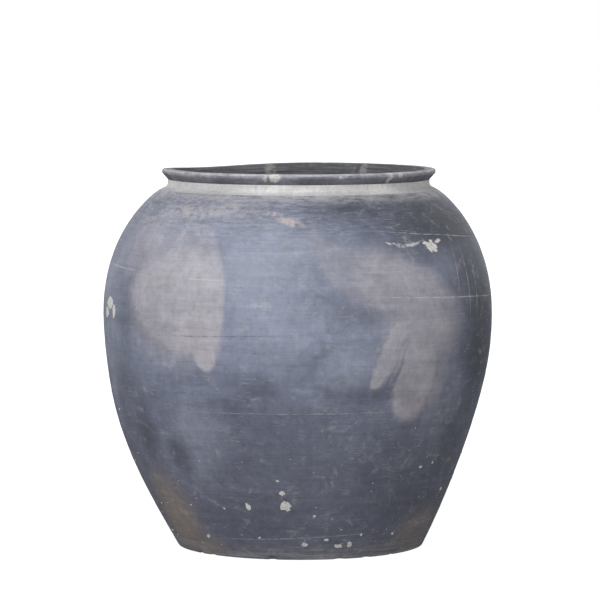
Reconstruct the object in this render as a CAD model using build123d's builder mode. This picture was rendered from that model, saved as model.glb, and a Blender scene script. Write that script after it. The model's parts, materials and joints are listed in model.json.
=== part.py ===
"""Wide-bellied earthenware fermenting crock, as the potter builds it, in millimetres.

A beaten floor slab carries a wall of hand-laid clay courses. Each course is bevelled at
its top edge, and the next one laps down inside it (a scarf joint, scored and slipped).
A coil is worked into the corner between floor and wall, and a collar and a thick
turned-out lip close the mouth. Firing turns the joints to stone, so nothing moves.

+Z is up. The origin is the centre of the underside of the floor slab.
"""

import os
from math import cos, radians, sin, tan

from build123d import *

# Mouth, collar and lip
MOUTH_RADIUS = 156.0
NECK_WALL = 12.0
NECK_HEIGHT = 8.0  # from the shoulder's slope, carried on to the neck, up to the lip
NECK_OUTER_FILLET = 6.0
NECK_INNER_FILLET = 5.0
LIP_OVERHANG = 7.5  # how far the lip stands out over the neck
LIP_FLARE_RISE = 8.5  # rise of the lip's underside from the neck to its edge
LIP_EDGE_HEIGHT = 5.0
LIP_EDGE_ROUND = 2.0
LIP_INNER_ROUND = 2.0
LIP_SCARF_RISE = 3.0  # how far the lip's joint rises from the neck to the mouth
MOUTH_BEVEL_WIDTH = 6.0
MOUTH_BEVEL_FOOT = 1.5  # upright stretch of the lip under its inner bevel

# Outside shape of the body
FOOT_RADIUS = 158.0
FOOT_FLARE = 28.0  # degrees from upright at which the wall leaves the ground
BELLY_RADIUS = 250.0
BELLY_HEIGHT = 298.0  # where the body is widest
SHOULDER_RISE = 160.0  # from the belly up to the collar
SHOULDER_LEAN = 63.5  # degrees from upright at which the shoulder reaches the collar
SHOULDER_LEDGE = 9.0  # how far the shoulder ends outside the neck

# How long the wall keeps its direction at each end of its two curves, as a share of the
# height that the curve climbs
FOOT_HOLD = 0.25
BELLY_HOLD_BELOW = 0.41
BELLY_HOLD_ABOVE = 0.66
SHOULDER_HOLD = 0.07

# Clay thicknesses
FLOOR_THICKNESS = 16.0
FOOT_WALL = 15.0  # measured level, at the foot
BELLY_WALL = 12.0
SHOULDER_WALL = 11.0  # measured square to the surface
FOOT_EDGE_ROUND = 2.5

# Wall courses and their joints
COURSE_COUNT = 6
SCARF_DROP = 10.0  # how far a wall joint falls from the outside to the inside
CORNER_COIL_SIZE = 14.0  # height and spread of the coil in the corner
CORNER_COIL_HOLLOW = 2.8  # how far its face is hollowed by the finger that smooths it

OUT_FOLDER = "parts"

# Places worked out from the sizes above
NECK_RADIUS = MOUTH_RADIUS + NECK_WALL
LIP_RADIUS = NECK_RADIUS + LIP_OVERHANG
SHOULDER_END = (NECK_RADIUS + SHOULDER_LEDGE, BELLY_HEIGHT + SHOULDER_RISE)
LEAN = (-sin(radians(SHOULDER_LEAN)), cos(radians(SHOULDER_LEAN)))
SHOULDER_END_INSIDE = (
    SHOULDER_END[0] - SHOULDER_WALL * LEAN[1],
    SHOULDER_END[1] + SHOULDER_WALL * LEAN[0],
)
SLOPE = 1 / tan(radians(SHOULDER_LEAN))  # rise of the shoulder's end for each mm inwards
NECK_BASE = SHOULDER_END[1] + (SHOULDER_END[0] - NECK_RADIUS) * SLOPE
MOUTH_BASE = SHOULDER_END_INSIDE[1] + (SHOULDER_END_INSIDE[0] - MOUTH_RADIUS) * SLOPE
NECK_TOP = NECK_BASE + NECK_HEIGHT
LIP_SEAT = NECK_TOP + LIP_SCARF_RISE  # the lip's joint, at the mouth
LIP_UNDERSIDE = NECK_TOP + LIP_FLARE_RISE  # at the lip's edge
TOTAL_HEIGHT = LIP_UNDERSIDE + LIP_EDGE_HEIGHT


def lower_curve(foot_radius, belly_radius):
    """Wall line from the ground up to the belly, in the radius and height plane."""
    lean = radians(FOOT_FLARE)
    hold = FOOT_HOLD * BELLY_HEIGHT
    return Bezier(
        (foot_radius, 0),
        (foot_radius + hold * sin(lean), hold * cos(lean)),
        (belly_radius, BELLY_HEIGHT * (1 - BELLY_HOLD_BELOW)),
        (belly_radius, BELLY_HEIGHT),
    )


def upper_curve(belly_radius, end):
    """Wall line from the belly over the shoulder to the collar."""
    rise = end[1] - BELLY_HEIGHT
    hold = SHOULDER_HOLD * rise
    return Bezier(
        (belly_radius, BELLY_HEIGHT),
        (belly_radius, BELLY_HEIGHT + BELLY_HOLD_ABOVE * rise),
        (end[0] - hold * LEAN[0], end[1] - hold * LEAN[1]),
        end,
    )


# Outside and inside lines of the wall, each as (below, above) the belly
OUTSIDE = (
    lower_curve(FOOT_RADIUS, BELLY_RADIUS),
    upper_curve(BELLY_RADIUS, SHOULDER_END),
)
INSIDE = (
    lower_curve(FOOT_RADIUS - FOOT_WALL, BELLY_RADIUS - BELLY_WALL),
    upper_curve(BELLY_RADIUS - BELLY_WALL, SHOULDER_END_INSIDE),
)


def point_at(lines, height):
    """The point of a wall line, given as (below, above) the belly, at a height."""
    line = lines[0] if height <= BELLY_HEIGHT else lines[1]
    level = Edge.make_line((0, height), (2 * BELLY_RADIUS, height))
    return line.intersect(level)[0].X, height


def joint_ends(height):
    """A wall joint's ends: on the outside at a height, and lower down on the inside."""
    return point_at(OUTSIDE, height), point_at(INSIDE, height - SCARF_DROP)


def beyond(start, end):
    """The point as far past end as end lies from start."""
    return 2 * end[0] - start[0], 2 * end[1] - start[1]


def across_wall(ends):
    """A joint's line made long enough to cut right through the wall, outer end first."""
    outer, inner = ends
    return beyond(inner, outer), beyond(outer, inner)


def wall_section():
    """The body wall's section from the ground to the collar, as one flat face."""
    with BuildSketch(Plane.XZ) as section:
        with BuildLine():
            add(OUTSIDE[0])
            add(OUTSIDE[1])
            Line(SHOULDER_END, SHOULDER_END_INSIDE)
            add(INSIDE[1])
            add(INSIDE[0])
            Line(INSIDE[0] @ 0, OUTSIDE[0] @ 0)
        make_face()
    return section.sketch


def room_within(line):
    """The flat region between the crock's axis and a wall line below the belly."""
    with BuildSketch(Plane.XZ) as region:
        with BuildLine():
            add(line)
            Polyline(line @ 1, (0, BELLY_HEIGHT), (0, 0), line @ 0)
        make_face()
    return region.sketch


def floor_slab():
    """Round slab that the crock stands on, its edge running on into the wall."""
    with BuildPart() as slab:
        with BuildSketch(Plane.XZ) as section:
            Rectangle(BELLY_RADIUS, FLOOR_THICKNESS, align=Align.MIN)
            add(room_within(OUTSIDE[0]), mode=Mode.INTERSECT)
            foot_corner = section.vertices().group_by(Axis.Y)[0].sort_by(Axis.X)[-1]
            fillet(foot_corner, FOOT_EDGE_ROUND)
        revolve(axis=Axis.Z)
    slab.part.label = "floor_slab"
    return slab.part


def corner_coil():
    """Hollow-faced coil that fills the corner between floor and wall."""
    coil_top = FLOOR_THICKNESS + CORNER_COIL_SIZE
    wall_foot = point_at(INSIDE, FLOOR_THICKNESS)
    on_floor = (wall_foot[0] - CORNER_COIL_SIZE, FLOOR_THICKNESS)
    on_wall = point_at(INSIDE, coil_top)
    with BuildPart() as coil:
        with BuildSketch(Plane.XZ):
            with BuildLine():
                SagittaArc(on_wall, on_floor, CORNER_COIL_HOLLOW)
                Polyline(
                    on_floor,
                    (BELLY_RADIUS, FLOOR_THICKNESS),
                    (BELLY_RADIUS, coil_top),
                    on_wall,
                )
            make_face()
            add(room_within(INSIDE[0]), mode=Mode.INTERSECT)
        revolve(axis=Axis.Z)
    coil.part.label = "corner_coil"
    return coil.part


def wall_course(number, lower_ends, upper_ends):
    """One ring of the wall, between the joint below it and the joint above it."""
    low_outer, low_inner = across_wall(lower_ends)
    high_outer, high_inner = across_wall(upper_ends)
    with BuildPart() as course:
        with BuildSketch(Plane.XZ):
            add(wall_section())
            with BuildLine():
                Polyline(low_outer, high_outer, high_inner, low_inner, close=True)
            make_face(mode=Mode.INTERSECT)
        revolve(axis=Axis.Z)
    course.part.label = f"wall_course_{number}"
    return course.part


def wall_courses():
    """All the wall's rings, from the floor slab up to the collar."""
    rise = (SHOULDER_END[1] - FLOOR_THICKNESS) / COURSE_COUNT
    seat = (point_at(OUTSIDE, FLOOR_THICKNESS), point_at(INSIDE, FLOOR_THICKNESS))
    joints = [joint_ends(FLOOR_THICKNESS + rise * n) for n in range(1, COURSE_COUNT)]
    ends = [seat, *joints, (SHOULDER_END, SHOULDER_END_INSIDE)]
    return [wall_course(n + 1, ends[n], ends[n + 1]) for n in range(COURSE_COUNT)]


def neck_collar():
    """Short upright neck on the shoulder, with the round mouth inside it."""
    with BuildPart() as collar:
        with BuildSketch(Plane.XZ):
            with BuildLine():
                FilletPolyline(
                    SHOULDER_END,
                    (NECK_RADIUS, NECK_BASE),
                    (NECK_RADIUS, NECK_TOP),
                    radius=NECK_OUTER_FILLET,
                )
                Line((NECK_RADIUS, NECK_TOP), (MOUTH_RADIUS, LIP_SEAT))
                FilletPolyline(
                    (MOUTH_RADIUS, LIP_SEAT),
                    (MOUTH_RADIUS, MOUTH_BASE),
                    SHOULDER_END_INSIDE,
                    radius=NECK_INNER_FILLET,
                )
                Line(SHOULDER_END_INSIDE, SHOULDER_END)
            make_face()
        revolve(axis=Axis.Z)
    collar.part.label = "neck_collar"
    return collar.part


def lip():
    """Thick turned-out rim with a level top that a cover rests on."""
    with BuildPart() as ring:
        with BuildSketch(Plane.XZ) as section:
            with BuildLine():
                Polyline(
                    (NECK_RADIUS, NECK_TOP),
                    (LIP_RADIUS, LIP_UNDERSIDE),
                    (LIP_RADIUS, TOTAL_HEIGHT),
                    (MOUTH_RADIUS + MOUTH_BEVEL_WIDTH, TOTAL_HEIGHT),
                    (MOUTH_RADIUS, LIP_SEAT + MOUTH_BEVEL_FOOT),
                    (MOUTH_RADIUS, LIP_SEAT),
                    close=True,
                )
            make_face()
            edge_corners = section.vertices().group_by(Axis.X)[-1]
            bevel_corner = section.vertices().group_by(Axis.Y)[-1].sort_by(Axis.X)[0]
            fillet(edge_corners, LIP_EDGE_ROUND)
            fillet(bevel_corner, LIP_INNER_ROUND)
        revolve(axis=Axis.Z)
    ring.part.label = "lip"
    return ring.part


def main():
    """Build every piece and write each to its own STEP file."""
    os.makedirs(OUT_FOLDER, exist_ok=True)
    pieces = [floor_slab(), corner_coil(), *wall_courses(), neck_collar(), lip()]
    for piece in pieces:
        export_step(piece, f"{OUT_FOLDER}/{piece.label}.step")


main()
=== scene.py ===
"""Looks of a wide-bellied earthenware fermenting crock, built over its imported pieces.

Each clay piece is turned from its own section, pushed a little out of true by one lattice
that they all share, as a hand-built crock is, and dressed in a finish of its own. Patches
of lime that years of water have left are thin crusts laid on the wall.

Lengths are in metres, in the crock's frame: +Z is up, the origin is under the middle of
the foot and the front faces -Y. Azimuths are in degrees round from the front towards +X.
"""

import json
import logging
import math
import random
from collections.abc import Callable, Iterable
from dataclasses import dataclass, field
from enum import Enum
from itertools import pairwise

import bpy
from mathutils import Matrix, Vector


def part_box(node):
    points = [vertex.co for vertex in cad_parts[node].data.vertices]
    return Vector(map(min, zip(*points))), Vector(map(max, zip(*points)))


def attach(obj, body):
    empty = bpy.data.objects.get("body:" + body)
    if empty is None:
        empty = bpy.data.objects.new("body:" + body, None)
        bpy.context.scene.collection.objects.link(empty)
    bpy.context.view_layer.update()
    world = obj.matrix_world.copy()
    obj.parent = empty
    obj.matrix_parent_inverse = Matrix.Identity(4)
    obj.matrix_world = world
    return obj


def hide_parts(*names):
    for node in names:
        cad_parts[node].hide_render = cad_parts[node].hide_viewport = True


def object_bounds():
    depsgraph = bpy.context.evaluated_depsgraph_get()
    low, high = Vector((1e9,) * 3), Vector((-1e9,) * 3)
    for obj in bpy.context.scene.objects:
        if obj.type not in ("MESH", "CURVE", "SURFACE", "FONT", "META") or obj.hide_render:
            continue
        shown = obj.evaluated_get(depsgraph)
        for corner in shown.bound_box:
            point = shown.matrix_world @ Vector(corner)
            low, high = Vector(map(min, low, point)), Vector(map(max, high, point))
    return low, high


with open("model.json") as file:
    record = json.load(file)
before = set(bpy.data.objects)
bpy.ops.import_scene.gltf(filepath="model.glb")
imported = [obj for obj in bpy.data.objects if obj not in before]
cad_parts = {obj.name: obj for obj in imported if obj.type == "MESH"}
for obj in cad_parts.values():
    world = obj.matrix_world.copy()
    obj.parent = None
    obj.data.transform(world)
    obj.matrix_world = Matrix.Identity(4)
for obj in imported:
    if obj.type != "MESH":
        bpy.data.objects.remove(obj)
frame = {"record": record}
cad_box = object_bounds()

log = logging.getLogger("crock")

Point = tuple[float, float]  # radius and height
Colour = tuple[float, float, float, float]
Socket = bpy.types.NodeSocket
Fade = tuple[Socket, float, float] | tuple[Socket, float, float, float, float]
Condition = Socket | float | Fade
Tone = Socket | str  # a pattern or an sRGB hex colour

MM = 0.001
COURSES = 6
MERGE_DISTANCE = 0.001 * MM
PLACES = "unshaped_place"
LEVEL = 0.9  # a face whose normal rises or falls by more than this counts as level
CREASE = math.radians(38)


class Slot(Enum):
    """The record's material slots."""

    BODY = "grey_earthenware"
    NECK = "pale_neck_clay"
    RIM = "dark_rim_clay"


def linear(hex_colour: str) -> Colour:
    """Turn an sRGB hex colour into the linear colour that a shader wants.

    Args:
        hex_colour: six hex digits after a #.

    Returns:
        Red, green, blue and an alpha of 1.
    """
    shares = [int(hex_colour[i : i + 2], 16) / 255 for i in (1, 3, 5)]
    red, green, blue = (
        share / 12.92 if share <= 0.04045 else ((share + 0.055) / 1.055) ** 2.4
        for share in shares
    )
    return red, green, blue, 1.0


def bezier(handles: tuple[Point, Point, Point, Point], share: float) -> Point:
    """Find a point of a cubic curve.

    Args:
        handles: the curve's start, its two handles and its end.
        share: how far along the curve the point is, from 0 to 1.

    Returns:
        The point.
    """
    rest = 1 - share
    weights = (rest**3, 3 * rest**2 * share, 3 * rest * share**2, share**3)
    radius = sum(w * handle[0] for w, handle in zip(weights, handles, strict=True))
    height = sum(w * handle[1] for w, handle in zip(weights, handles, strict=True))
    return radius, height


def partway(start: Point, end: Point, share: float) -> Point:
    """The point that lies a share of the way from one point to another."""
    return start[0] + (end[0] - start[0]) * share, start[1] + (end[1] - start[1]) * share


def straight(start: Point, end: Point, spacing: float) -> list[Point]:
    """Divide a straight stretch of a section evenly.

    Args:
        start: first point.
        end: last point.
        spacing: about how far apart the points are.

    Returns:
        The points, both ends among them.
    """
    steps = max(1, round(math.dist(start, end) / spacing))
    return [partway(start, end, step / steps) for step in range(steps + 1)]


def rounded(before: Point, corner: Point, after: Point, radius: float, steps: int) -> list[Point]:
    """Round a corner of a section.

    Args:
        before: the point that the section comes from.
        corner: the sharp corner.
        after: the point that the section goes on to.
        radius: the arc's radius.
        steps: how many stretches the arc has.

    Returns:
        The arc's points, from its start to its end.
    """
    tip, back, on = Vector(corner), Vector(before) - Vector(corner), Vector(after) - Vector(corner)
    back.normalize()
    on.normalize()
    half = back.angle(on) / 2
    centre = tip + (back + on).normalized() * radius / math.sin(half)
    start = tip + back * radius / math.tan(half) - centre
    end = tip + on * radius / math.tan(half) - centre
    points = []
    for step in range(steps + 1):
        spoke = start.slerp(end, step / steps) * radius
        points.append((centre.x + spoke.x, centre.y + spoke.y))
    return points


@dataclass(frozen=True)
class CrockOutline:
    """The crock's section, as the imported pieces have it."""

    foot_radius: float = 158 * MM
    foot_wall: float = 15 * MM
    foot_flare: float = math.radians(28)
    belly_wall: float = 12 * MM
    belly_height: float = 298 * MM
    shoulder_wall: float = 11 * MM
    shoulder_lean: float = math.radians(63.5)
    foot_hold: float = 0.25
    belly_hold_below: float = 0.41
    belly_hold_above: float = 0.66
    shoulder_hold: float = 0.07
    belly_radius: float = field(default_factory=lambda: cad_box[1].x)
    shoulder_end: Point = field(
        default_factory=lambda: (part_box("neck_collar")[1].x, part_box("wall_course_6")[1].z)
    )

    def lean(self) -> Point:
        """Direction in which the shoulder reaches the collar."""
        return -math.sin(self.shoulder_lean), math.cos(self.shoulder_lean)

    def below(self, inset: Point) -> tuple[Point, Point, Point, Point]:
        """Handles of a wall line from the ground to the belly.

        Args:
            inset: how far the line lies inside the outside one, at the foot and the belly.

        Returns:
            The curve's handles.
        """
        foot, belly = self.foot_radius - inset[0], self.belly_radius - inset[1]
        hold = self.foot_hold * self.belly_height
        return (
            (foot, 0.0),
            (foot + hold * math.sin(self.foot_flare), hold * math.cos(self.foot_flare)),
            (belly, self.belly_height * (1 - self.belly_hold_below)),
            (belly, self.belly_height),
        )

    def above(self, belly: float, end: Point) -> tuple[Point, Point, Point, Point]:
        """Handles of a wall line from the belly to the collar.

        Args:
            belly: the line's radius at the belly.
            end: where it ends, under the collar.

        Returns:
            The curve's handles.
        """
        rise = end[1] - self.belly_height
        hold = self.shoulder_hold * rise
        lean = self.lean()
        return (
            (belly, self.belly_height),
            (belly, self.belly_height + self.belly_hold_above * rise),
            (end[0] - hold * lean[0], end[1] - hold * lean[1]),
            end,
        )

    def shoulder_end_inside(self) -> Point:
        """Where the wall's inside line ends, square across from its outside end."""
        lean = self.lean()
        return (
            self.shoulder_end[0] - self.shoulder_wall * lean[1],
            self.shoulder_end[1] + self.shoulder_wall * lean[0],
        )


class WallLine:
    """One side of the wall as a close row of points, from the ground to the collar."""

    STEPS = 600

    def __init__(self, curves: Iterable[tuple], relief: Callable[[float], float]) -> None:
        """Walk the curves and cut the turning marks into them.

        Args:
            curves: the handles of the curves, lowest first.
            relief: how far the line moves outwards at a height.
        """
        shares = [step / self.STEPS for step in range(self.STEPS + 1)]
        points = [bezier(curve, share) for curve in curves for share in shares]
        cut = [(radius + relief(height), height) for radius, height in points]
        self.points = [cut[0], *(end for start, end in pairwise(cut) if end[1] > start[1])]

    def at(self, height: float) -> Point:
        """Find the line's point at a height.

        Args:
            height: the height, which the line reaches.

        Returns:
            The point.
        """
        for start, end in pairwise(self.points):
            if start[1] <= height <= end[1]:
                return partway(start, end, (height - start[1]) / (end[1] - start[1]))
        return self.points[-1]

    def between(self, low: float, high: float, spacing: float) -> list[Point]:
        """Divide the stretch between two heights evenly along the clay.

        Args:
            low: the lower height.
            high: the upper height.
            spacing: about how far apart the points are.

        Returns:
            The points, going up, both ends among them.
        """
        inner = [point for point in self.points if low < point[1] < high]
        row = [self.at(low), *inner, self.at(high)]
        gaps = [math.dist(start, end) for start, end in pairwise(row)]
        steps = max(1, round(sum(gaps) / spacing))
        found, walked, target = [row[0]], 0.0, sum(gaps) / steps
        for (start, end), gap in zip(pairwise(row), gaps, strict=True):
            while len(found) < steps and walked + gap >= target * len(found):
                found.append(partway(start, end, (target * len(found) - walked) / gap))
            walked += gap
        return [*found, row[-1]]


@dataclass(frozen=True)
class TurningMarks:
    """Level ridges left by the hands and the rib as the crock turned."""

    depth: float
    spacings: tuple[float, ...]
    outward: bool = False
    stagger: float = 9.0

    def relief(self, height: float) -> float:
        """How far the marks move the clay at a height, away from the axis."""
        waves = [
            math.sin(math.tau * height / spacing + self.stagger * spacing / self.spacings[0])
            for spacing in self.spacings
        ]
        share = (1 + sum(waves) / len(waves)) / 2
        return self.depth * share * (1 if self.outward else -1)


@dataclass(frozen=True)
class HandShaping:
    """How far the crock is out of true, as one lattice that bends every piece alike."""

    sideways: tuple[float, ...] = (3.6 * MM, -0.6 * MM, -2.4 * MM, 0.0, 0.0, 0.4 * MM, 1.5 * MM)
    across: int = 5
    rim_dip: float = 3.6 * MM
    rim_settle: float = 0.45 * MM
    rim_dip_place: tuple[int, int] = (1, 3)
    unevenness: float = 0.5 * MM
    seed: int = 11

    def make_lattice(self) -> bpy.types.Object:
        """Add the lattice round the crock and push its points.

        Returns:
            The lattice.
        """
        low, high = cad_box
        size, middle = high - low, (high + low) / 2
        deselect()
        bpy.ops.object.add(type="LATTICE", location=middle)
        lattice = bpy.context.object
        lattice.name = "hand_shaping"
        lattice.scale = size
        cage = lattice.data
        cage.points_u, cage.points_v, cage.points_w = self.across, self.across, len(self.sideways)
        cage.interpolation_type_u = cage.interpolation_type_v = "KEY_CARDINAL"
        cage.interpolation_type_w = "KEY_CARDINAL"
        chance = random.Random(self.seed)
        top = cage.points_w - 1
        for place, point in enumerate(cage.points):
            along = place % self.across
            row = place // self.across % self.across
            level = place // self.across**2
            inwards = -Vector((point.co.x, point.co.y, 0))
            push = inwards * chance.uniform(0, 2 * self.unevenness)
            push.x += self.sideways[level]
            if level == top:
                push.z -= self.rim_settle
            if level == top and (along, row) == self.rim_dip_place:
                push.z -= self.rim_dip
            point.co_deform = point.co + Vector(p / s for p, s in zip(push, size, strict=True))
        return lattice


def deselect() -> None:
    """Leave nothing selected, so that an operator acts only on what is new."""
    bpy.ops.object.select_all(action="DESELECT")


def gather(pieces: list[bpy.types.Object]) -> None:
    """Select some objects alone and make the first of them the active one."""
    deselect()
    for piece in pieces:
        piece.select_set(True)
    bpy.context.view_layer.objects.active = pieces[0]


def activate(piece: bpy.types.Object) -> None:
    """Select one object alone and make it the active one."""
    gather([piece])


def remove(piece: bpy.types.Object) -> None:
    """Take away an object that was only needed while modelling."""
    activate(piece)
    bpy.ops.object.delete()


def apply_modifier(piece: bpy.types.Object, kind: str, **settings: object) -> None:
    """Give an object one modifier and apply it.

    Args:
        piece: the object.
        kind: the modifier's type.
        settings: the modifier's own settings.
    """
    activate(piece)
    modifier = piece.modifiers.new(kind.lower(), kind)
    for name, value in settings.items():
        setattr(modifier, name, value)
    bpy.ops.object.modifier_apply(modifier=modifier.name)


def turn(name: str, section: list[Point], facets: int) -> bpy.types.Object:
    """Model a round piece: extrude a point along its section, then turn that round the axis.

    Args:
        name: the piece's name.
        section: the section's points in order. The outline is closed unless it starts and
            ends on the axis.
        facets: how many facets go round.

    Returns:
        The piece, smooth where its section is.
    """
    deselect()
    bpy.ops.mesh.primitive_plane_add(size=MM)
    piece = bpy.context.object
    piece.name = piece.data.name = name
    bpy.ops.object.mode_set(mode="EDIT")
    bpy.ops.mesh.select_mode(type="VERT")
    bpy.ops.mesh.merge(type="CENTER")
    bpy.ops.transform.translate(value=(section[0][0], 0, section[0][1]))
    closing = [] if section[0][0] == section[-1][0] == 0 else section[:1]
    for start, end in pairwise(section + closing):
        step = {"value": (end[0] - start[0], 0, end[1] - start[1])}
        bpy.ops.mesh.extrude_region_move(TRANSFORM_OT_translate=step)
    bpy.ops.mesh.select_all(action="SELECT")
    bpy.ops.mesh.remove_doubles(threshold=MERGE_DISTANCE)
    bpy.ops.object.mode_set(mode="OBJECT")
    apply_modifier(
        piece,
        "SCREW",
        axis="Z",
        angle=math.tau,
        steps=facets,
        render_steps=facets,
        use_merge_vertices=True,
        merge_threshold=MERGE_DISTANCE,
    )
    bpy.ops.object.mode_set(mode="EDIT")
    bpy.ops.mesh.select_all(action="SELECT")
    bpy.ops.mesh.remove_doubles(threshold=MERGE_DISTANCE)
    bpy.ops.mesh.normals_make_consistent(inside=False)
    bpy.ops.object.mode_set(mode="OBJECT")
    return piece


def dress(
    piece: bpy.types.Object,
    finish: bpy.types.Material,
    others: Iterable[tuple[bpy.types.Material, Callable[[bpy.types.MeshPolygon], bool]]] = (),
) -> None:
    """Give a piece its finishes.

    Args:
        piece: the piece.
        finish: what covers it, but for what the others take.
        others: each further finish, with the test for the faces that it covers.
    """
    activate(piece)
    for material, _ in [(finish, None), *others]:
        bpy.ops.object.material_slot_add()
        piece.material_slots[-1].material = material
    for index, (_, covers) in enumerate(others, start=1):
        bpy.ops.object.mode_set(mode="EDIT")
        bpy.ops.mesh.select_mode(type="FACE")
        bpy.ops.mesh.select_all(action="DESELECT")
        bpy.ops.object.mode_set(mode="OBJECT")
        for face in piece.data.polygons:
            face.select = covers(face)
        bpy.ops.object.mode_set(mode="EDIT")
        piece.active_material_index = index
        bpy.ops.object.material_slot_assign()
        bpy.ops.object.mode_set(mode="OBJECT")


def faces_inwards(face: bpy.types.MeshPolygon) -> bool:
    """Tell whether a face of the wall looks into the crock."""
    return face.normal.x * face.center.x + face.normal.y * face.center.y < 0


@dataclass
class Crock:
    """What all the crock's pieces share: its outline, its turning marks and its shaping."""

    outline: CrockOutline = field(default_factory=CrockOutline)
    outer_marks: TurningMarks = TurningMarks(0.25 * MM, (21 * MM, 13 * MM, 34 * MM))
    inner_marks: TurningMarks = TurningMarks(0.9 * MM, (24 * MM, 17 * MM), outward=True)
    facets: int = 480
    row: float = 3 * MM

    def __post_init__(self) -> None:
        """Draw the wall's two lines and set up the lattice."""
        shape = self.outline
        self.outside = WallLine(
            (shape.below((0, 0)), shape.above(shape.belly_radius, shape.shoulder_end)),
            self.outer_marks.relief,
        )
        inset = (shape.foot_wall, shape.belly_wall)
        inner_belly = shape.belly_radius - shape.belly_wall
        self.inside = WallLine(
            (shape.below(inset), shape.above(inner_belly, shape.shoulder_end_inside())),
            self.inner_marks.relief,
        )
        self.lattice = HandShaping().make_lattice()

    def finish_piece(self, piece: bpy.types.Object, node: str, slot: Slot) -> None:
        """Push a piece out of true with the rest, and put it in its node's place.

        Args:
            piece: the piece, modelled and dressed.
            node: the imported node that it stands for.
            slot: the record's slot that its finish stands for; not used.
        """
        keep_places(piece)
        apply_modifier(piece, "LATTICE", object=self.lattice)
        activate(piece)
        bpy.ops.object.shade_smooth_by_angle(angle=CREASE)
        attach(piece, "root")
        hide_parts(node)
        log.info("%s: %d faces", piece.name, len(piece.data.polygons))


@dataclass(frozen=True)
class Chips:
    """Small losses knocked out of an edge, at chance places round it."""

    number: int
    depth: tuple[float, float]
    reach: tuple[float, float]
    inwards: Point
    seed: int

    def knock(self, piece: bpy.types.Object, edge: Point) -> None:
        """Push the edge in at each chip, with the clay round it.

        Args:
            piece: the piece, in object mode.
            edge: the edge's radius and height.
        """
        chance = random.Random(self.seed)
        for _ in range(self.number):
            turned = chance.uniform(0, math.tau)
            across = Vector((math.cos(turned), math.sin(turned), 0))
            place = across * edge[0] + Vector((0, 0, edge[1]))
            push = (across * self.inwards[0] + Vector((0, 0, self.inwards[1]))).normalized()
            activate(piece)
            bpy.ops.object.mode_set(mode="EDIT")
            bpy.ops.mesh.select_mode(type="VERT")
            bpy.ops.mesh.select_all(action="DESELECT")
            bpy.ops.object.mode_set(mode="OBJECT")
            nearest = min(piece.data.vertices, key=lambda vertex: (vertex.co - place).length)
            nearest.select = True
            bpy.ops.object.mode_set(mode="EDIT")
            bpy.ops.transform.translate(
                value=push * chance.uniform(*self.depth),
                use_proportional_edit=True,
                proportional_edit_falloff="ROOT",
                proportional_size=chance.uniform(*self.reach),
            )
            bpy.ops.object.mode_set(mode="OBJECT")


@dataclass
class FloorSlab:
    """The round slab that the crock stands on."""

    crock: Crock
    edge_round: float = 1.2 * MM
    edge_steps: int = 5
    ring_gap: float = 5 * MM
    chips: Chips = Chips(16, (0.8 * MM, 2.0 * MM), (3 * MM, 7 * MM), (-1.0, 0.6), 3)
    node: str = "floor_slab"

    def section(self) -> list[Point]:
        """The slab's section, from the axis across the top and back under the foot."""
        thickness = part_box(self.node)[1].z
        rim = self.crock.outside.at(thickness)
        foot = self.crock.outside.at(0)
        edge = rounded(rim, foot, (0, 0), self.edge_round, self.edge_steps)
        return [
            *straight((0, thickness), rim, self.ring_gap)[:-1],
            *straight(rim, edge[0], self.crock.row)[:-1],
            *edge,
            *straight(edge[-1], (0, 0), self.ring_gap)[1:],
        ]

    def build(self, skin: bpy.types.Material, inside: bpy.types.Material,
              sole: bpy.types.Material) -> bpy.types.Object:
        """Model and dress the slab.

        Args:
            skin: finish of its edge.
            inside: finish of its top.
            sole: finish of its underside.

        Returns:
            The slab.
        """
        slab = turn("floor_slab_clay", self.section(), self.crock.facets)
        dress(
            slab,
            skin,
            ((inside, lambda face: face.normal.z > LEVEL), (sole, lambda face: face.normal.z < -LEVEL)),
        )
        self.chips.knock(slab, self.crock.outside.at(0))
        self.crock.finish_piece(slab, self.node, Slot.BODY)
        return slab


@dataclass
class CornerCoil:
    """The coil worked into the corner between the floor and the wall."""

    crock: Crock
    hollow: float = 2.8 * MM
    face_steps: int = 8
    node: str = "corner_coil"

    def section(self) -> list[Point]:
        """The coil's section: up the wall, down its hollow face and back along the floor."""
        low, high = (corner.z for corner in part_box(self.node))
        inside = self.crock.inside
        top, corner = inside.at(high), inside.at(low)
        toe = (corner[0] - (high - low), low)
        middle = Vector(((top[0] + toe[0]) / 2, (top[1] + toe[1]) / 2))
        inwards = Vector((corner[0] - middle.x, corner[1] - middle.y)).normalized()
        pulled = tuple(middle + 2 * self.hollow * inwards)
        handles = (top, pulled, pulled, toe)
        face = [bezier(handles, step / self.face_steps) for step in range(1, self.face_steps + 1)]
        return [*inside.between(low, high, self.crock.row), *face]

    def build(self, inside: bpy.types.Material) -> bpy.types.Object:
        """Model the coil and dress it in the inside's finish."""
        coil = turn("corner_coil_clay", self.section(), self.crock.facets)
        dress(coil, inside)
        self.crock.finish_piece(coil, self.node, Slot.BODY)
        return coil


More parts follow.
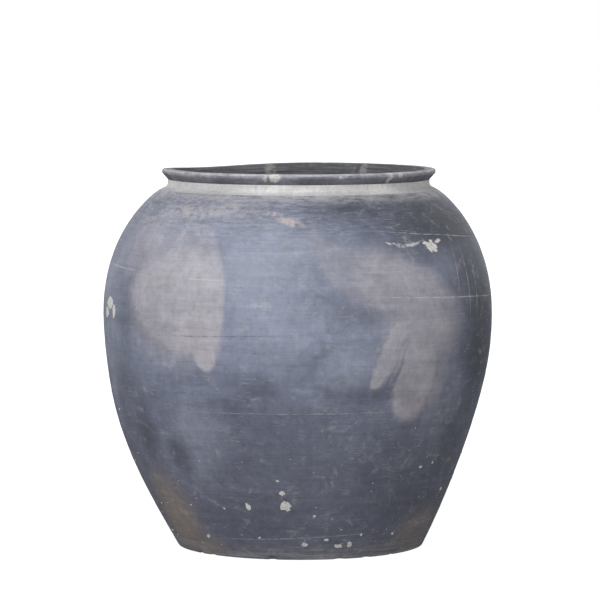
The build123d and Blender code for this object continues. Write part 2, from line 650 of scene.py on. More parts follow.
@dataclass
class WallCourse:
    """One ring of the wall, bevelled to lap inside the ring below it."""

    crock: Crock
    number: int
    inside_spread: float = 1.3
    joint_spread: float = 2.0

    def node(self) -> str:
        """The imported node's name."""
        return f"wall_course_{self.number}"

    def joints(self) -> tuple[Point, Point]:
        """The course's joints, lower then upper, each as its outer and inner height."""
        low, high = (corner.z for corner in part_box(self.node()))
        if self.number == 1:
            lower = (low, low)
        else:
            lower = (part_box(f"wall_course_{self.number - 1}")[1].z, low)
        above = "neck_collar" if self.number == COURSES else f"wall_course_{self.number + 1}"
        return lower, (high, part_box(above)[0].z)

    def section(self) -> list[Point]:
        """The course's section: up the outside, over its top, and down the inside."""
        lower, upper = self.joints()
        row = self.crock.row
        outside = self.crock.outside.between(lower[0], upper[0], row)
        inside = self.crock.inside.between(lower[1], upper[1], self.inside_spread * row)[::-1]
        top = straight(outside[-1], inside[0], self.joint_spread * row)[1:-1]
        bottom = straight(inside[-1], outside[0], self.joint_spread * row)[1:-1]
        return [*outside, *top, *inside, *bottom]

    def build(self, skin: bpy.types.Material, inside: bpy.types.Material) -> bpy.types.Object:
        """Model and dress the course.

        Args:
            skin: finish of the outside.
            inside: finish of the inside.

        Returns:
            The course.
        """
        course = turn(f"{self.node()}_clay", self.section(), self.crock.facets)
        dress(course, skin, ((inside, faces_inwards),))
        self.crock.finish_piece(course, self.node(), Slot.BODY)
        return course


@dataclass
class NeckCollar:
    """The short upright neck, with the mouth inside it."""

    crock: Crock
    outer_fillet: float = 6 * MM
    inner_fillet: float = 5 * MM
    fillet_steps: int = 6
    node: str = "neck_collar"

    def section(self) -> list[Point]:
        """The collar's section: up the neck, across its top and down the mouth."""
        shape, row = self.crock.outline, self.crock.row / 2
        start, end = self.crock.outside.points[-1], self.crock.inside.points[-1]
        slope = 1 / math.tan(shape.shoulder_lean)
        neck, mouth = neck_radius(), mouth_radius()
        foot = (neck, start[1] + (start[0] - neck) * slope)
        throat = (mouth, end[1] + (end[0] - mouth) * slope)
        top, seat = (neck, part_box("lip")[0].z), (mouth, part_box(self.node)[1].z)
        outer = rounded(start, foot, top, self.outer_fillet, self.fillet_steps)
        inner = rounded(seat, throat, end, self.inner_fillet, self.fillet_steps)
        return joined([start, outer, top, seat, inner, end], row)

    def build(self, chalky: bpy.types.Material, inside: bpy.types.Material) -> bpy.types.Object:
        """Model and dress the collar.

        Args:
            chalky: finish of the neck.
            inside: finish of the mouth.

        Returns:
            The collar.
        """
        collar = turn("neck_collar_clay", self.section(), self.crock.facets)
        dress(collar, chalky, ((inside, faces_inwards),))
        self.crock.finish_piece(collar, self.node, Slot.NECK)
        return collar


@dataclass
class Lip:
    """The thick turned-out rim that a cover rests on."""

    crock: Crock
    edge_height: float = 5 * MM
    edge_round: float = 2 * MM
    edge_steps: int = 5
    inner_round: float = 2 * MM
    inner_steps: int = 4
    bevel_width: float = 6 * MM
    bevel_foot: float = 1.5 * MM
    facets: int = 720
    chips: Chips = Chips(14, (0.3 * MM, 0.9 * MM), (2 * MM, 6 * MM), (-1.0, -0.7), 8)
    node: str = "lip"

    def section(self) -> list[Point]:
        """The lip's section: out under the flare, up its edge, in across its top."""
        low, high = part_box(self.node)
        neck, mouth = neck_radius(), mouth_radius()
        seat = (mouth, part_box("neck_collar")[1].z)
        under = (high.x, high.z - self.edge_height)
        edge, bevel = (high.x, high.z), (mouth + self.bevel_width, high.z)
        foot = (mouth, seat[1] + self.bevel_foot)
        start = (neck, low.z)
        corners = [
            start,
            rounded(start, under, edge, self.edge_round, self.edge_steps),
            rounded(under, edge, bevel, self.edge_round, self.edge_steps),
            rounded(edge, bevel, foot, self.inner_round, self.inner_steps),
            foot,
            seat,
        ]
        return joined(corners, self.crock.row / 2)

    def build(self, worn: bpy.types.Material, inside: bpy.types.Material) -> bpy.types.Object:
        """Model and dress the lip.

        Args:
            worn: finish of the lip.
            inside: finish of its inner bevel.

        Returns:
            The lip.
        """
        lip = turn("lip_clay", self.section(), self.facets)
        dress(lip, worn, ((inside, lambda face: faces_inwards(face) and face.normal.z < LEVEL),))
        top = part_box(self.node)[1]
        self.chips.knock(lip, (top.x, top.z))
        self.crock.finish_piece(lip, self.node, Slot.RIM)
        return lip


def joined(corners: list[Point | list[Point]], spacing: float) -> list[Point]:
    """Join corners and rounded corners by evenly divided straight stretches.

    Args:
        corners: points, and rows of points for rounded corners, in order.
        spacing: about how far apart the points of a straight stretch are.

    Returns:
        The whole row of points.
    """
    rows = [corner if isinstance(corner, list) else [corner] for corner in corners]
    points = list(rows[0])
    for row in rows[1:]:
        points += straight(points[-1], row[0], spacing)[1:-1] + row
    return points


def mount(name: str) -> dict:
    """One of the record's mounts."""
    return next(found for found in frame["record"]["mounts"] if found["name"] == name)


def mouth_radius() -> float:
    """Radius of the way in through the collar."""
    return mount("mouth")["dims"]["r_mm"] * MM


def neck_radius() -> float:
    """Radius of the neck under the lip."""
    return mount("neck_groove")["pos_m"][0]


def add(
    tree: bpy.types.NodeTree,
    kind: str,
    inputs: dict[str | int, object] | None = None,
    output: int = 0,
    **settings: object,
) -> Socket | None:
    """Add a shader node with its settings and links.

    Args:
        tree: the material's node tree.
        kind: the node's type, without the words that all shader nodes start with.
        inputs: the value of each input, or the socket that feeds it, by name or place.
        output: which of the node's outputs is wanted.
        settings: the node's own properties.

    Returns:
        The wanted output's socket, or nothing from a node that ends the tree.
    """
    node = tree.nodes.new(f"ShaderNode{kind}")
    for name, value in settings.items():
        setattr(node, name, value)
    for key, value in (inputs or {}).items():
        if isinstance(value, Socket):
            tree.links.new(value, node.inputs[key])
        else:
            node.inputs[key].default_value = value
    return node.outputs[output] if node.outputs else None


@dataclass(frozen=True)
class Mark:
    """A patch on the crock's outside, placed round it and up it.

    Widths and heights are half the patch's, measured round the belly and up the crock. The
    tilt is in degrees and softness is how much of the patch's edge fades, from 0 to 1.
    """

    azimuth: float
    height: float
    half_width: float
    half_height: float
    tilt: float = 0.0
    softness: float = 0.5
    strength: float = 1.0
    within: "Mark | None" = None


class Dressing:
    """A material being built, with the places on the crock that its patterns read."""

    def __init__(self, name: str) -> None:
        """Start a material.

        Args:
            name: the material's name.
        """
        self.material = bpy.data.materials.new(name)
        self.material.use_nodes = True
        self.tree = self.material.node_tree
        self.tree.nodes.clear()
        tree = self.tree
        self.place = add(tree, "Attribute", output=1, attribute_name=PLACES)
        apart = add(tree, "SeparateXYZ", {0: self.place}).node
        across, depth, self.height = apart.outputs
        front = add(tree, "Math", {0: depth, 1: -1.0}, operation="MULTIPLY")
        turned = add(tree, "Math", {0: across, 1: front}, operation="ARCTAN2")
        round_belly = add(tree, "Math", {0: turned, 1: cad_box[1].x}, operation="MULTIPLY")
        flat = add(tree, "CombineXYZ", {0: round_belly, 1: self.height})
        broad = self.wander(55 * MM, 11 * MM)
        fine = self.wander(9 * MM, 4 * MM)
        warp = add(tree, "VectorMath", {0: broad, 1: fine}, operation="ADD")
        self.warped = add(tree, "VectorMath", {0: flat, 1: warp}, operation="ADD")
        slight = self.wander(40 * MM, 1.6 * MM)
        self.steady = add(tree, "VectorMath", {0: flat, 1: slight}, operation="ADD")

    def noise(self, size: float, detail: float = 3.0, stretch: tuple[float, float] = (1.0, 1.0),
              roughness: float = 0.55, swirl: float = 0.0) -> Socket:
        """Cloudy values from 0 to 1.

        Args:
            size: a cloud's size.
            detail: how many finer clouds lie in it.
            stretch: how much longer the clouds are level and upright.
            roughness: how strong the finer clouds are.
            swirl: how far the clouds are stirred into wisps.

        Returns:
            The values.
        """
        scale = (1 / stretch[0], 1 / stretch[0], 1 / stretch[1])
        where = add(self.tree, "Mapping", {0: self.place, 3: scale})
        inputs = {
            "Vector": where,
            "Scale": 1 / size,
            "Detail": detail,
            "Roughness": roughness,
            "Distortion": swirl,
        }
        return add(self.tree, "TexNoise", inputs)

    def wander(self, size: float, reach: float) -> Socket:
        """Small shifts of place that make an edge irregular.

        Args:
            size: how far apart the shifts change.
            reach: how far they go.

        Returns:
            The shifts, as a vector.
        """
        cloud = add(self.tree, "TexNoise", {"Vector": self.place, "Scale": 1 / size}, output=1)
        middled = add(self.tree, "VectorMath", {0: cloud, 1: (0.5, 0.5, 0.5)}, operation="SUBTRACT")
        return add(self.tree, "VectorMath", {0: middled, 3: reach}, operation="SCALE")

    def where(self, *conditions: Condition) -> Socket | float:
        """Where some conditions hold together.

        Args:
            conditions: masks, plain shares and fades. A fade is a value, the two ends of the range
                that it is spread over smoothly and, where they aren't 0 and 1, what the ends give.

        Returns:
            The conditions multiplied together.
        """
        together = None
        for condition in conditions:
            if isinstance(condition, tuple):
                value, low, high, *ends = condition
                first, last = ends or (0.0, 1.0)
                spread = {0: value, 1: low, 2: high, 3: first, 4: last}
                condition = add(self.tree, "MapRange", spread, interpolation_type="SMOOTHSTEP")
            if together is not None:
                both = {0: together, 1: condition}
                condition = add(self.tree, "Math", both, operation="MULTIPLY")
            together = condition
        return together

    def either(self, *values: Socket) -> Socket:
        """Take the strongest of some masks."""
        strongest = values[0]
        for value in values[1:]:
            strongest = add(self.tree, "Math", {0: strongest, 1: value}, operation="MAXIMUM")
        return strongest

    def patch(self, mark: Mark, place: Socket) -> Socket:
        """The mask of one patch on the outside.

        Args:
            mark: the patch.
            place: the place round the belly and up the crock that it reads.

        Returns:
            The mask, from 0 to the patch's strength.
        """
        middle = (math.radians(mark.azimuth) * cad_box[1].x, mark.height, 0)
        outer = 1 + mark.softness / 2  # where the patch has quite faded, in its own half sizes
        local = add(
            self.tree,
            "Mapping",
            {
                0: place,
                1: middle,
                2: (0, 0, math.radians(mark.tilt)),
                3: (mark.half_width * outer, mark.half_height * outer, 1),
            },
            vector_type="TEXTURE",
        )
        # A gradient, and not a vector's length, keeps so many patches within the shader's stack.
        near = add(self.tree, "TexGradient", {0: local}, output=1, gradient_type="SPHERICAL")
        mask = (near, 0, mark.softness / outer, 0, mark.strength)
        return self.where(mask, *([self.patch(mark.within, place)] if mark.within else []))

    def patches(self, marks: Iterable[Mark]) -> Socket:
        """The mask of several patches together, with irregular edges."""
        return self.either(*(self.patch(mark, self.warped) for mark in marks))

    def lines(self, marks: Iterable[Mark]) -> Socket:
        """The mask of several thin lines together, scratched nearly straight."""
        scratched = self.either(*(self.patch(mark, self.steady) for mark in marks))
        return self.where(scratched, (self.noise(7 * MM, 2), 0.35, 0.6, 0.25, 1.0))

    def toned(self, colour: Socket, *layers: tuple[Socket, float]) -> Socket:
        """Lighten and darken a colour by cloudy values.

        Args:
            colour: the colour.
            layers: each cloudy value, with the share by which it moves the colour each way.

        Returns:
            The new colour.
        """
        tone = 1.0
        for value, share in layers:
            tone = self.where((value, 0.25, 0.75, 1 - share, 1 + share), tone)
        mixed = {0: 1.0, 6: colour, 7: tone}
        return add(self.tree, "Mix", mixed, output=2, data_type="RGBA", blend_type="MULTIPLY")

    def coated(self, base: Tone, *coats: tuple[Tone | Condition, ...]) -> Socket:
        """Lay coats over a base, one after another.

        Args:
            base: what lies underneath.
            coats: each coat's tone, with the conditions where it shows.

        Returns:
            The coated colour or pattern.
        """
        for tone, *conditions in coats:
            under, over = (linear(one) if isinstance(one, str) else one for one in (base, tone))
            mixed = {0: self.where(*conditions), 6: under, 7: over}
            base = add(self.tree, "Mix", mixed, output=2, data_type="RGBA", blend_type="MIX")
        return base

    def specks(self, spacing: float, size: float, share: float) -> Socket:
        """Scattered small dots.

        Args:
            spacing: about how far apart the places for a dot are.
            size: the largest dot's radius.
            share: the share of the places that hold one.

        Returns:
            The dots' mask.
        """
        cell = add(self.tree, "TexVoronoi", {"Vector": self.place, "Scale": 1 / spacing}).node
        luck = add(self.tree, "SeparateXYZ", {0: cell.outputs["Color"]}).node
        largest = size / spacing
        radius = self.where((luck.outputs[1], 0.0, 1.0, 0.25 * largest, largest))
        gap = add(self.tree, "Math", {0: radius, 1: cell.outputs["Distance"]}, operation="SUBTRACT")
        return self.where((gap, 0.0, 0.4 * largest), (luck.outputs[0], share, share * 0.98))

    def hairs(self, length: float, width: float, flatness: float) -> Socket:
        """Scattered hair-thin scratches, mostly level.

        Args:
            length: about how long a scratch is.
            width: a scratch's half width.
            flatness: how much longer than high the cell of a scratch is.

        Returns:
            The scratches' mask.
        """
        scale = (1 / flatness, 1 / flatness, 1)
        bent = add(self.tree, "VectorMath", {0: self.place, 1: self.wander(90 * MM, 9 * MM)})
        where = add(self.tree, "Mapping", {0: bent, 3: scale})
        size = length / flatness
        edge = add(
            self.tree, "TexVoronoi", {"Vector": where, "Scale": 1 / size}, feature="DISTANCE_TO_EDGE"
        )
        strewn = self.noise(24 * MM, 4, roughness=0.7)
        return self.where((edge, width / size, 0.0), (strewn, 0.5, 0.66))

    def surface(self, colour: Socket, roughness: Socket | float,
                relief: Socket, depth: float, **shine: float) -> bpy.types.Material:
        """Finish the material with its shader.

        Args:
            colour: the base colour.
            roughness: the roughness.
            relief: fine relief, from 0 to 1.
            depth: how deep that relief is.
            shine: other values of the shader, by name with _ for spaces.

        Returns:
            The material.
        """
        bump = add(self.tree, "Bump", {"Height": relief, "Distance": depth, "Strength": 1.0})
        inputs = {"Base Color": colour, "Roughness": roughness, "Normal": bump}
        inputs |= {name.replace("_", " "): value for name, value in shine.items()}
        shader = add(self.tree, "BsdfPrincipled", inputs)
        add(self.tree, "OutputMaterial", {"Surface": shader})
        return self.material


@dataclass(frozen=True)
class BurnishedSkin:
    """Grey earthenware burnished smooth, then smoked: slate blue with a dull, streaky sheen, partly a
    painted highlight, and with painted shade down the right side.
    """

    deep: str = "#636879"
    light: str = "#7d8396"
    low: str = "#686a79"
    # Colour of the painted highlight: the key light's dull sheen, laid on as a lighter blue.
    sheen: str = "#a4abbe"
    smudge: str = "#aeaab1"
    soot: str = "#3c3f4a"
    earth: str = "#93877f"
    dust: str = "#a7a3a0"
    beige: str = "#bfb4b0"
    chalk: str = "#a9a8ab"
    lime: str = "#dcdad8"
    grain: float = 0.12 * MM
    pale: tuple[Mark, ...] = (
        Mark(-36, 0.335, 0.080, 0.072, 10, 1.0, 0.85, Mark(-62, 0.335, 0.176, 0.150, 0, 0.04)),
        Mark(-39, 0.318, 0.088, 0.049, -22, 0.4, 0.85, Mark(-62, 0.320, 0.176, 0.150, 0, 0.04)),
        Mark(-28.5, 0.290, 0.027, 0.036, 10, 0.5, 0.9),
        Mark(-27.6, 0.263, 0.016, 0.020, 6, 0.4, 0.9),
        Mark(-52, 0.385, 0.060, 0.040, -20, 1.4, 0.5),
        Mark(15, 0.362, 0.066, 0.020, -46, 0.6, 0.34),
        Mark(33, 0.341, 0.094, 0.038, -22, 0.7, 0.68),
        Mark(40, 0.300, 0.056, 0.050, -20, 0.9, 0.72),
        Mark(27.6, 0.269, 0.0135, 0.050, -24, 0.6, 0.8),
        Mark(24.0, 0.236, 0.0085, 0.017, -24, 0.5, 0.95),
        Mark(37, 0.240, 0.036, 0.060, -4, 0.45, 0.85),
        Mark(35.8, 0.205, 0.026, 0.022, 0, 0.45, 0.85),
        Mark(35.5, 0.222, 0.014, 0.012, 0, 1.2, 0.9),
        Mark(44.5, 0.240, 0.020, 0.050, -8, 1.2, 0.55),
        Mark(128, 0.33, 0.10, 0.06, 20, 1.1, 0.7),
        Mark(-142, 0.30, 0.06, 0.10, -12, 1.0, 0.7),
    )
    gaps: tuple[Mark, ...] = (Mark(29.2, 0.232, 0.0032, 0.036, -20, 1.2, 0.7),)
    # Where the shoulder runs darker, on its right.
    darker_right_shoulder: Mark = Mark(46, 0.440, 0.200, 0.060, 0, 1.2, 1.0)
    # Painted highlight: lighter patches where the key light's sheen would fall, on the belly and
    # shoulder and round the back.
    painted_highlights: tuple[Mark, ...] = (
        Mark(-8, 0.350, 0.095, 0.085, 0, 1.5, 0.42),
        Mark(14, 0.275, 0.090, 0.045, 10, 1.5, 0.22),
        Mark(-34, 0.425, 0.110, 0.024, 0, 1.5, 0.4),
        Mark(16, 0.252, 0.045, 0.026, 0, 1.4, 0.5),
        Mark(-76, 0.290, 0.050, 0.080, 0, 1.5, 0.4),
        Mark(-35, 0.150, 0.050, 0.045, 30, 1.5, 0.25),
        Mark(50, 0.180, 0.030, 0.060, -20, 1.5, 0.25),
        Mark(150, 0.36, 0.10, 0.08, 10, 1.4, 0.5),
        Mark(-115, 0.35, 0.10, 0.08, -10, 1.4, 0.5),
    )
    # Dark patches: the small ones low on the left and those round the back are soot clouds; the large
    # ones down the right side, from the shoulder to the foot, are painted shade.
    soot_and_painted_shade: tuple[Mark, ...] = (
        Mark(-41, 0.132, 0.020, 0.024, 30, 1.3, 0.55),
        Mark(-66, 0.201, 0.024, 0.036, 10, 1.3, 0.4),
        Mark(-56, 0.158, 0.026, 0.030, 20, 1.3, 0.5),
        Mark(58, 0.425, 0.125, 0.038, 0, 1.3, 0.95),
        Mark(66, 0.345, 0.050, 0.070, 0, 1.3, 0.65),
        Mark(30, 0.448, 0.115, 0.020, 0, 1.3, 0.75),
        Mark(70, 0.285, 0.055, 0.095, 0, 1.4, 0.9),
        Mark(8, 0.441, 0.036, 0.008, 0, 1.2, 0.4),
        Mark(60, 0.100, 0.110, 0.110, 0, 1.4, 0.34),
        Mark(165, 0.20, 0.05, 0.09, 20, 1.3, 0.5),
        Mark(-135, 0.15, 0.09, 0.05, 0, 1.3, 0.5),
        Mark(110, 0.42, 0.12, 0.03, 0, 1.4, 0.6),
    )
    browned: tuple[Mark, ...] = (
        Mark(-57, 0.048, 0.052, 0.050, 0, 1.2, 0.8),
        Mark(-50, 0.012, 0.060, 0.014, 0, 1.2, 0.6),
        Mark(60, 0.030, 0.060, 0.026, 0, 1.3, 0.5),
        Mark(150, 0.05, 0.09, 0.04, 0, 1.2, 0.6),
        Mark(-120, 0.03, 0.07, 0.03, 0, 1.2, 0.5),
    )
    dusty: tuple[Mark, ...] = (
        Mark(-8, 0.434, 0.016, 0.0030, -6, 1.2, 0.7),
        Mark(-3, 0.427, 0.020, 0.0036, -10, 1.2, 0.75),
        Mark(-46, 0.438, 0.034, 0.0045, 10, 1.4, 0.45),
        Mark(-60, 0.425, 0.030, 0.0030, 6, 1.4, 0.35),
        Mark(-32, 0.437, 0.080, 0.0080, 4, 1.3, 0.35),
    )
    limed: tuple[Mark, ...] = (
        Mark(32, 0.3985, 0.013, 0.0016, -8, 0.9, 0.8),
        Mark(37, 0.3965, 0.017, 0.0020, 4, 0.9, 0.8),
        Mark(41, 0.3985, 0.012, 0.0013, 14, 0.9, 0.6),
        Mark(49.5, 0.4005, 0.008, 0.0012, 24, 0.9, 0.6),
    )
    scratches: tuple[Mark, ...] = (
        Mark(55, 0.3295, 0.125, 0.0006, -2.6, 1.2, 0.6),
        Mark(55, 0.4060, 0.106, 0.0005, -4.0, 1.2, 0.5),
        Mark(-68, 0.3635, 0.065, 0.0005, -2.2, 1.2, 0.5),
        Mark(-29, 0.3560, 0.030, 0.0005, -1.4, 1.2, 0.5),
        Mark(5, 0.1920, 0.135, 0.0004, 0.0, 1.3, 0.4),
        Mark(-2, 0.0295, 0.145, 0.0005, 1.8, 1.3, 0.4),
        Mark(56, 0.365, 0.0009, 0.030, -7, 1.2, 0.3),
        Mark(61, 0.350, 0.0010, 0.040, -3, 1.2, 0.35),
        Mark(66, 0.340, 0.0010, 0.034, -6, 1.2, 0.3),
    )
    scores: tuple[Mark, ...] = (
        Mark(-22, 0.2875, 0.075, 0.0006, 1.9, 1.3, 0.5),
        Mark(120, 0.31, 0.11, 0.0006, 1.0, 1.3, 0.5),
        Mark(-120, 0.24, 0.09, 0.0006, -1.0, 1.3, 0.5),
    )

    def make(self) -> bpy.types.Material:
        """Build the material."""
        job = Dressing("smoke_fired_burnished_earthenware")
        # The burnishing stone's level streaks are a few tenths of a millimetre apart, and are
        # drawn coarser so that they show. Ribs and hands leave the broader ones.
        fine_streaks = job.noise(1.1 * MM, 3, (45, 1), 0.6)
        streaks = job.noise(4 * MM, 4, (26, 1), 0.65)
        bands = job.noise(16 * MM, 3, (12, 1))
        uprights = job.noise(3.5 * MM, 3, (1, 18))
        # Smoke, damp and handling leave clouds of every size from a fingertip to a hand.
        mottle = job.noise(9 * MM, 7, roughness=0.72)
        blots = job.noise(26 * MM, 5, roughness=0.6, swirl=0.8)
        cloud = job.noise(70 * MM, 4, (1.4, 1), swirl=0.6)
        wisps = job.noise(34 * MM, 5, (1.5, 1), 0.6, swirl=1.8)
        colour = job.coated(
            self.deep,
            (self.light, (cloud, 0.3, 0.7)),
            # Darker and greyer towards the foot.
            (self.low, (job.height, 0.26, 0.06, 0, 0.8)),
        )
        # Painted highlight: the sheen colour laid over the lit patches.
        colour = job.coated(colour, (self.sheen, job.patches(self.painted_highlights)))
        # Soot clouds, and painted shade down the right side.
        colour = job.coated(colour, (self.soot, job.patches(self.soot_and_painted_shade)))
        colour = job.coated(colour, (self.earth, job.patches(self.browned)))
        smudge = job.where(
            job.patches(self.pale),
            (job.patches(self.gaps), 0, 1, 1, 0),
            (cloud, 0.3, 0.6, 0.8, 1.0),
        )
        colour = job.coated(
            colour,
            (self.smudge, smudge),
            (self.dust, (wisps, 0.55, 0.66), (mottle, 0.4, 0.65, 0, 0.4)),
            (self.soot, (wisps, 0.46, 0.30), (blots, 0.35, 0.6, 0.05, 0.25)),
        )
        # Dirt that ran down from the neck and was wiped round the shoulder.
        dirt = job.noise(4 * MM, 8, (6, 1), 0.8)
        # On the right of the shoulder the pale streaks thin out and the dark ones strengthen, so it is
        # darker there.
        darker_right_shoulder = job.patches((self.darker_right_shoulder,))
        shoulder = job.where((job.height, 0.39, 0.44))
        colour = job.coated(
            colour,
            (self.chalk, shoulder, (dirt, 0.47, 0.62, 0.0, 0.55), (darker_right_shoulder, 0, 1, 1.0, 0.1)),
            (self.soot, shoulder, (dirt, 0.52, 0.38, 0.0, 0.65), (darker_right_shoulder, 0, 1, 0.5, 1.0)),
            (self.chalk, (job.height, 0.444, 0.459), (dirt, 0.36, 0.56, 0.15, 0.85)),
            (self.dust, (job.height, 0.03, 0.0), (streaks, 0.4, 0.65, 0.1, 0.6)),
        )
        colour = job.toned(
            colour,
            (fine_streaks, 0.05),
            (streaks, 0.06),
            (bands, 0.05),
            (uprights, 0.035),
            (mottle, 0.12),
            (blots, 0.09),
        )
        # Dust, lime and soot that lie on the clay, thicker towards the foot. Each mask is made
        # just before its coat, because a shader holds only so many unused values at a time.
        broken = job.where((mottle, 0.38, 0.56))
        colour = job.coated(colour, (self.beige, job.patches(self.dusty), broken))
        colour = job.coated(colour, (self.lime, job.patches(self.limed), broken))
        colour = job.coated(colour, (self.chalk, job.hairs(38 * MM, 0.35 * MM, 9), 0.42))
        colour = job.coated(colour, (self.lime, job.lines(self.scratches)))
        colour = job.coated(colour, (self.soot, job.lines(self.scores)))
        low = job.where((job.height, 0.30, 0.0, 0.25, 1.0))
        strewn = job.where((cloud, 0.35, 0.6, 0.3, 1.0))
        dots = job.where(job.specks(10 * MM, 1.5 * MM, 0.5), low, strewn)
        near_foot = job.where((job.height, 0.13, 0.005, 0.1, 1.0))
        crumbs = job.where(job.specks(4.5 * MM, 1.3 * MM, 0.5), near_foot)
        dust_dots = job.specks(4 * MM, 0.7 * MM, 0.35)
        pits = job.specks(6 * MM, 0.9 * MM, 0.4)
        colour = job.coated(
            colour,
            (self.dust, dust_dots, 0.45),
            (self.chalk, crumbs, strewn, 0.7),
            (self.lime, dots, 0.55),
            (self.soot, pits, 0.55),
        )
        roughness = job.where((mottle, 0.25, 0.75, 0.44, 0.6))
        grain = job.coated(streaks, (mottle, 0.5))
        return job.surface(colour, roughness, grain, self.grain, Specular_IOR_Level=0.35)


@dataclass(frozen=True)
class SootyInside:
    """Bare grey clay darkened by smoke and by what was kept in it: matt, olive-black."""

    deep: str = "#3c3d3f"
    light: str = "#66676b"
    lime: str = "#8d8c8a"
    grain: float = 0.25 * MM
    dabs: tuple[Mark, ...] = (
        Mark(-166, 0.474, 0.012, 0.010, 0, 0.8, 0.85),
        Mark(147, 0.474, 0.008, 0.010, 0, 0.8, 0.85),
        Mark(-120, 0.470, 0.010, 0.005, 0, 0.9, 0.5),
    )

    def make(self) -> bpy.types.Material:
        """Build the material."""
        job = Dressing("sooty_unburnished_inside")
        streaks = job.noise(2.2 * MM, 4, (30, 1))
        runs = job.noise(9 * MM, 3, (1, 9))
        mottle = job.noise(14 * MM, 5)
        fine = job.noise(4 * MM, 6, (2, 1), 0.7)
        colour = job.coated(
            self.deep,
            (self.light, (streaks, 0.3, 0.7)),
            (self.deep, (mottle, 0.5, 0.25, 0, 0.6)),
            (self.lime, (runs, 0.62, 0.8, 0, 0.45)),
            (self.lime, job.specks(12 * MM, 1.4 * MM, 0.25)),
        )
        colour = job.toned(colour, (fine, 0.22))
        colour = job.coated(colour, (self.lime, job.patches(self.dabs), (fine, 0.36, 0.5)))
        return job.surface(colour, 0.78, job.coated(streaks, (mottle, 0.5)), self.grain)


@dataclass(frozen=True)
class ChalkyNeck:
    """The neck, where hard water dried under the lip: bleached, chalky and matt."""

    chalk: str = "#e0dedc"
    worn: str = "#cbc9c8"
    clay: str = "#96979d"
    grain: float = 0.2 * MM
    greyed: Mark = Mark(-48, 0.466, 0.110, 0.030, 0, 1.2, 0.35)

    def make(self) -> bpy.types.Material:
        """Build the material."""
        job = Dressing("lime_bleached_neck")
        streaks = job.noise(2 * MM, 4, (18, 1))
        mottle = job.noise(5 * MM, 6, roughness=0.7)
        runs = job.noise(7 * MM, 4, (1, 5))
        bare = job.noise(30 * MM, 4, (2, 1))
        foot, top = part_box("neck_collar")[0].z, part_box("lip")[0].z
        colour = job.coated(
            self.chalk,
            (self.worn, (bare, 0.4, 0.62)),
            (self.clay, (runs, 0.56, 0.74, 0, 0.35)),
            (self.clay, (job.height, top - 3 * MM, foot + 8 * MM), 0.4),
            (self.clay, job.patches((self.greyed,))),
        )
        colour = job.toned(colour, (streaks, 0.06), (mottle, 0.12))
        colour = job.coated(colour, (self.clay, job.specks(6 * MM, 0.8 * MM, 0.3)))
        return job.surface(colour, 0.85, job.coated(streaks, (mottle, 0.5)), self.grain)


@dataclass(frozen=True)
class WornRim:
    """The lip, smoked dark and worn pale along its outer edge by covers and hands, with a painted
    highlight along that edge.
    """

    clay: str = "#777680"
    light: str = "#9998a1"
    soot: str = "#4d4d57"
    # Pale of the outer top edge: wear, and the edge's painted highlight.
    worn_edge_and_highlight: str = "#b4b3b9"
    lime: str = "#dddbd8"
    grain: float = 0.15 * MM
    dabs: tuple[Mark, ...] = (
        Mark(-10, 0.480, 0.010, 0.006, 0, 0.6, 0.85),
        Mark(-14, 0.479, 0.004, 0.004, 0, 0.6, 0.6),
        Mark(17, 0.482, 0.004, 0.002, 0, 0.4, 0.9),
        Mark(41, 0.479, 0.007, 0.008, 0, 0.8, 0.7),
        Mark(47, 0.481, 0.006, 0.004, 0, 0.8, 0.6),
        Mark(168, 0.480, 0.008, 0.006, 0, 0.8, 0.8),
    )

    def make(self) -> bpy.types.Material:
        """Build the material."""
        job = Dressing("worn_smoked_rim")
        streaks = job.noise(1.4 * MM, 4, (26, 1))
        mottle = job.noise(5 * MM, 6, roughness=0.7)
        cloud = job.noise(40 * MM, 3)
        wear = job.noise(16 * MM, 4)
        top, side = cad_box[1].z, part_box("lip")[1].x
        flat = add(job.tree, "VectorMath", {0: job.place, 1: (1, 1, 0)}, operation="MULTIPLY")
        reach = add(job.tree, "VectorMath", {0: flat}, output=1, operation="LENGTH")
        # The outer top edge, where the wear and the painted highlight lie.
        edge = (reach, side - 5 * MM, side - 2.5 * MM)
        upper = (job.height, top - 3.5 * MM, top - 1.5 * MM)
        colour = job.coated(
            self.clay,
            (self.light, (cloud, 0.35, 0.65)),
            # Darker under the lip's flare and at the foot of its outer edge.
            (self.soot, (job.height, top - 4.5 * MM, top - 9 * MM), 0.4),
            (self.soot, (reach, side - 4 * MM, side - 7 * MM), (cloud, 0.6, 0.4, 0.25, 0.7)),
            # Paler along the outer top edge: wear from covers and hands, and a painted highlight where
            # the edge catches the light.
            (self.worn_edge_and_highlight, edge, upper, (wear, 0.35, 0.55, 0.3, 1.0)),
            (self.soot, (mottle, 0.42, 0.3, 0, 0.6)),
            (self.lime, job.specks(5 * MM, 0.8 * MM, 0.3)),
        )
        colour = job.toned(colour, (streaks, 0.12), (mottle, 0.18))
        colour = job.coated(colour, (self.lime, job.patches(self.dabs), (mottle, 0.36, 0.52)))
        grain = job.coated(streaks, (mottle, 0.5))
        return job.surface(colour, 0.6, grain, self.grain, Specular_IOR_Level=0.35)


@dataclass(frozen=True)
class DrySole:
    """The underside, stood on sand to dry: gritty, matt and a little brown."""

    clay: str = "#68645f"
    sand: str = "#8d857a"
    grain: float = 0.5 * MM

    def make(self) -> bpy.types.Material:
        """Build the material."""
        job = Dressing("dry_sanded_sole")
        grit = job.noise(2.5 * MM, 5, roughness=0.7)
        mottle = job.noise(30 * MM, 4)
        colour = job.coated(
            self.clay,
            (self.sand, (mottle, 0.35, 0.7)),
            (self.sand, (grit, 0.55, 0.75, 0, 0.6)),
        )
        return job.surface(colour, 0.9, grit, self.grain)


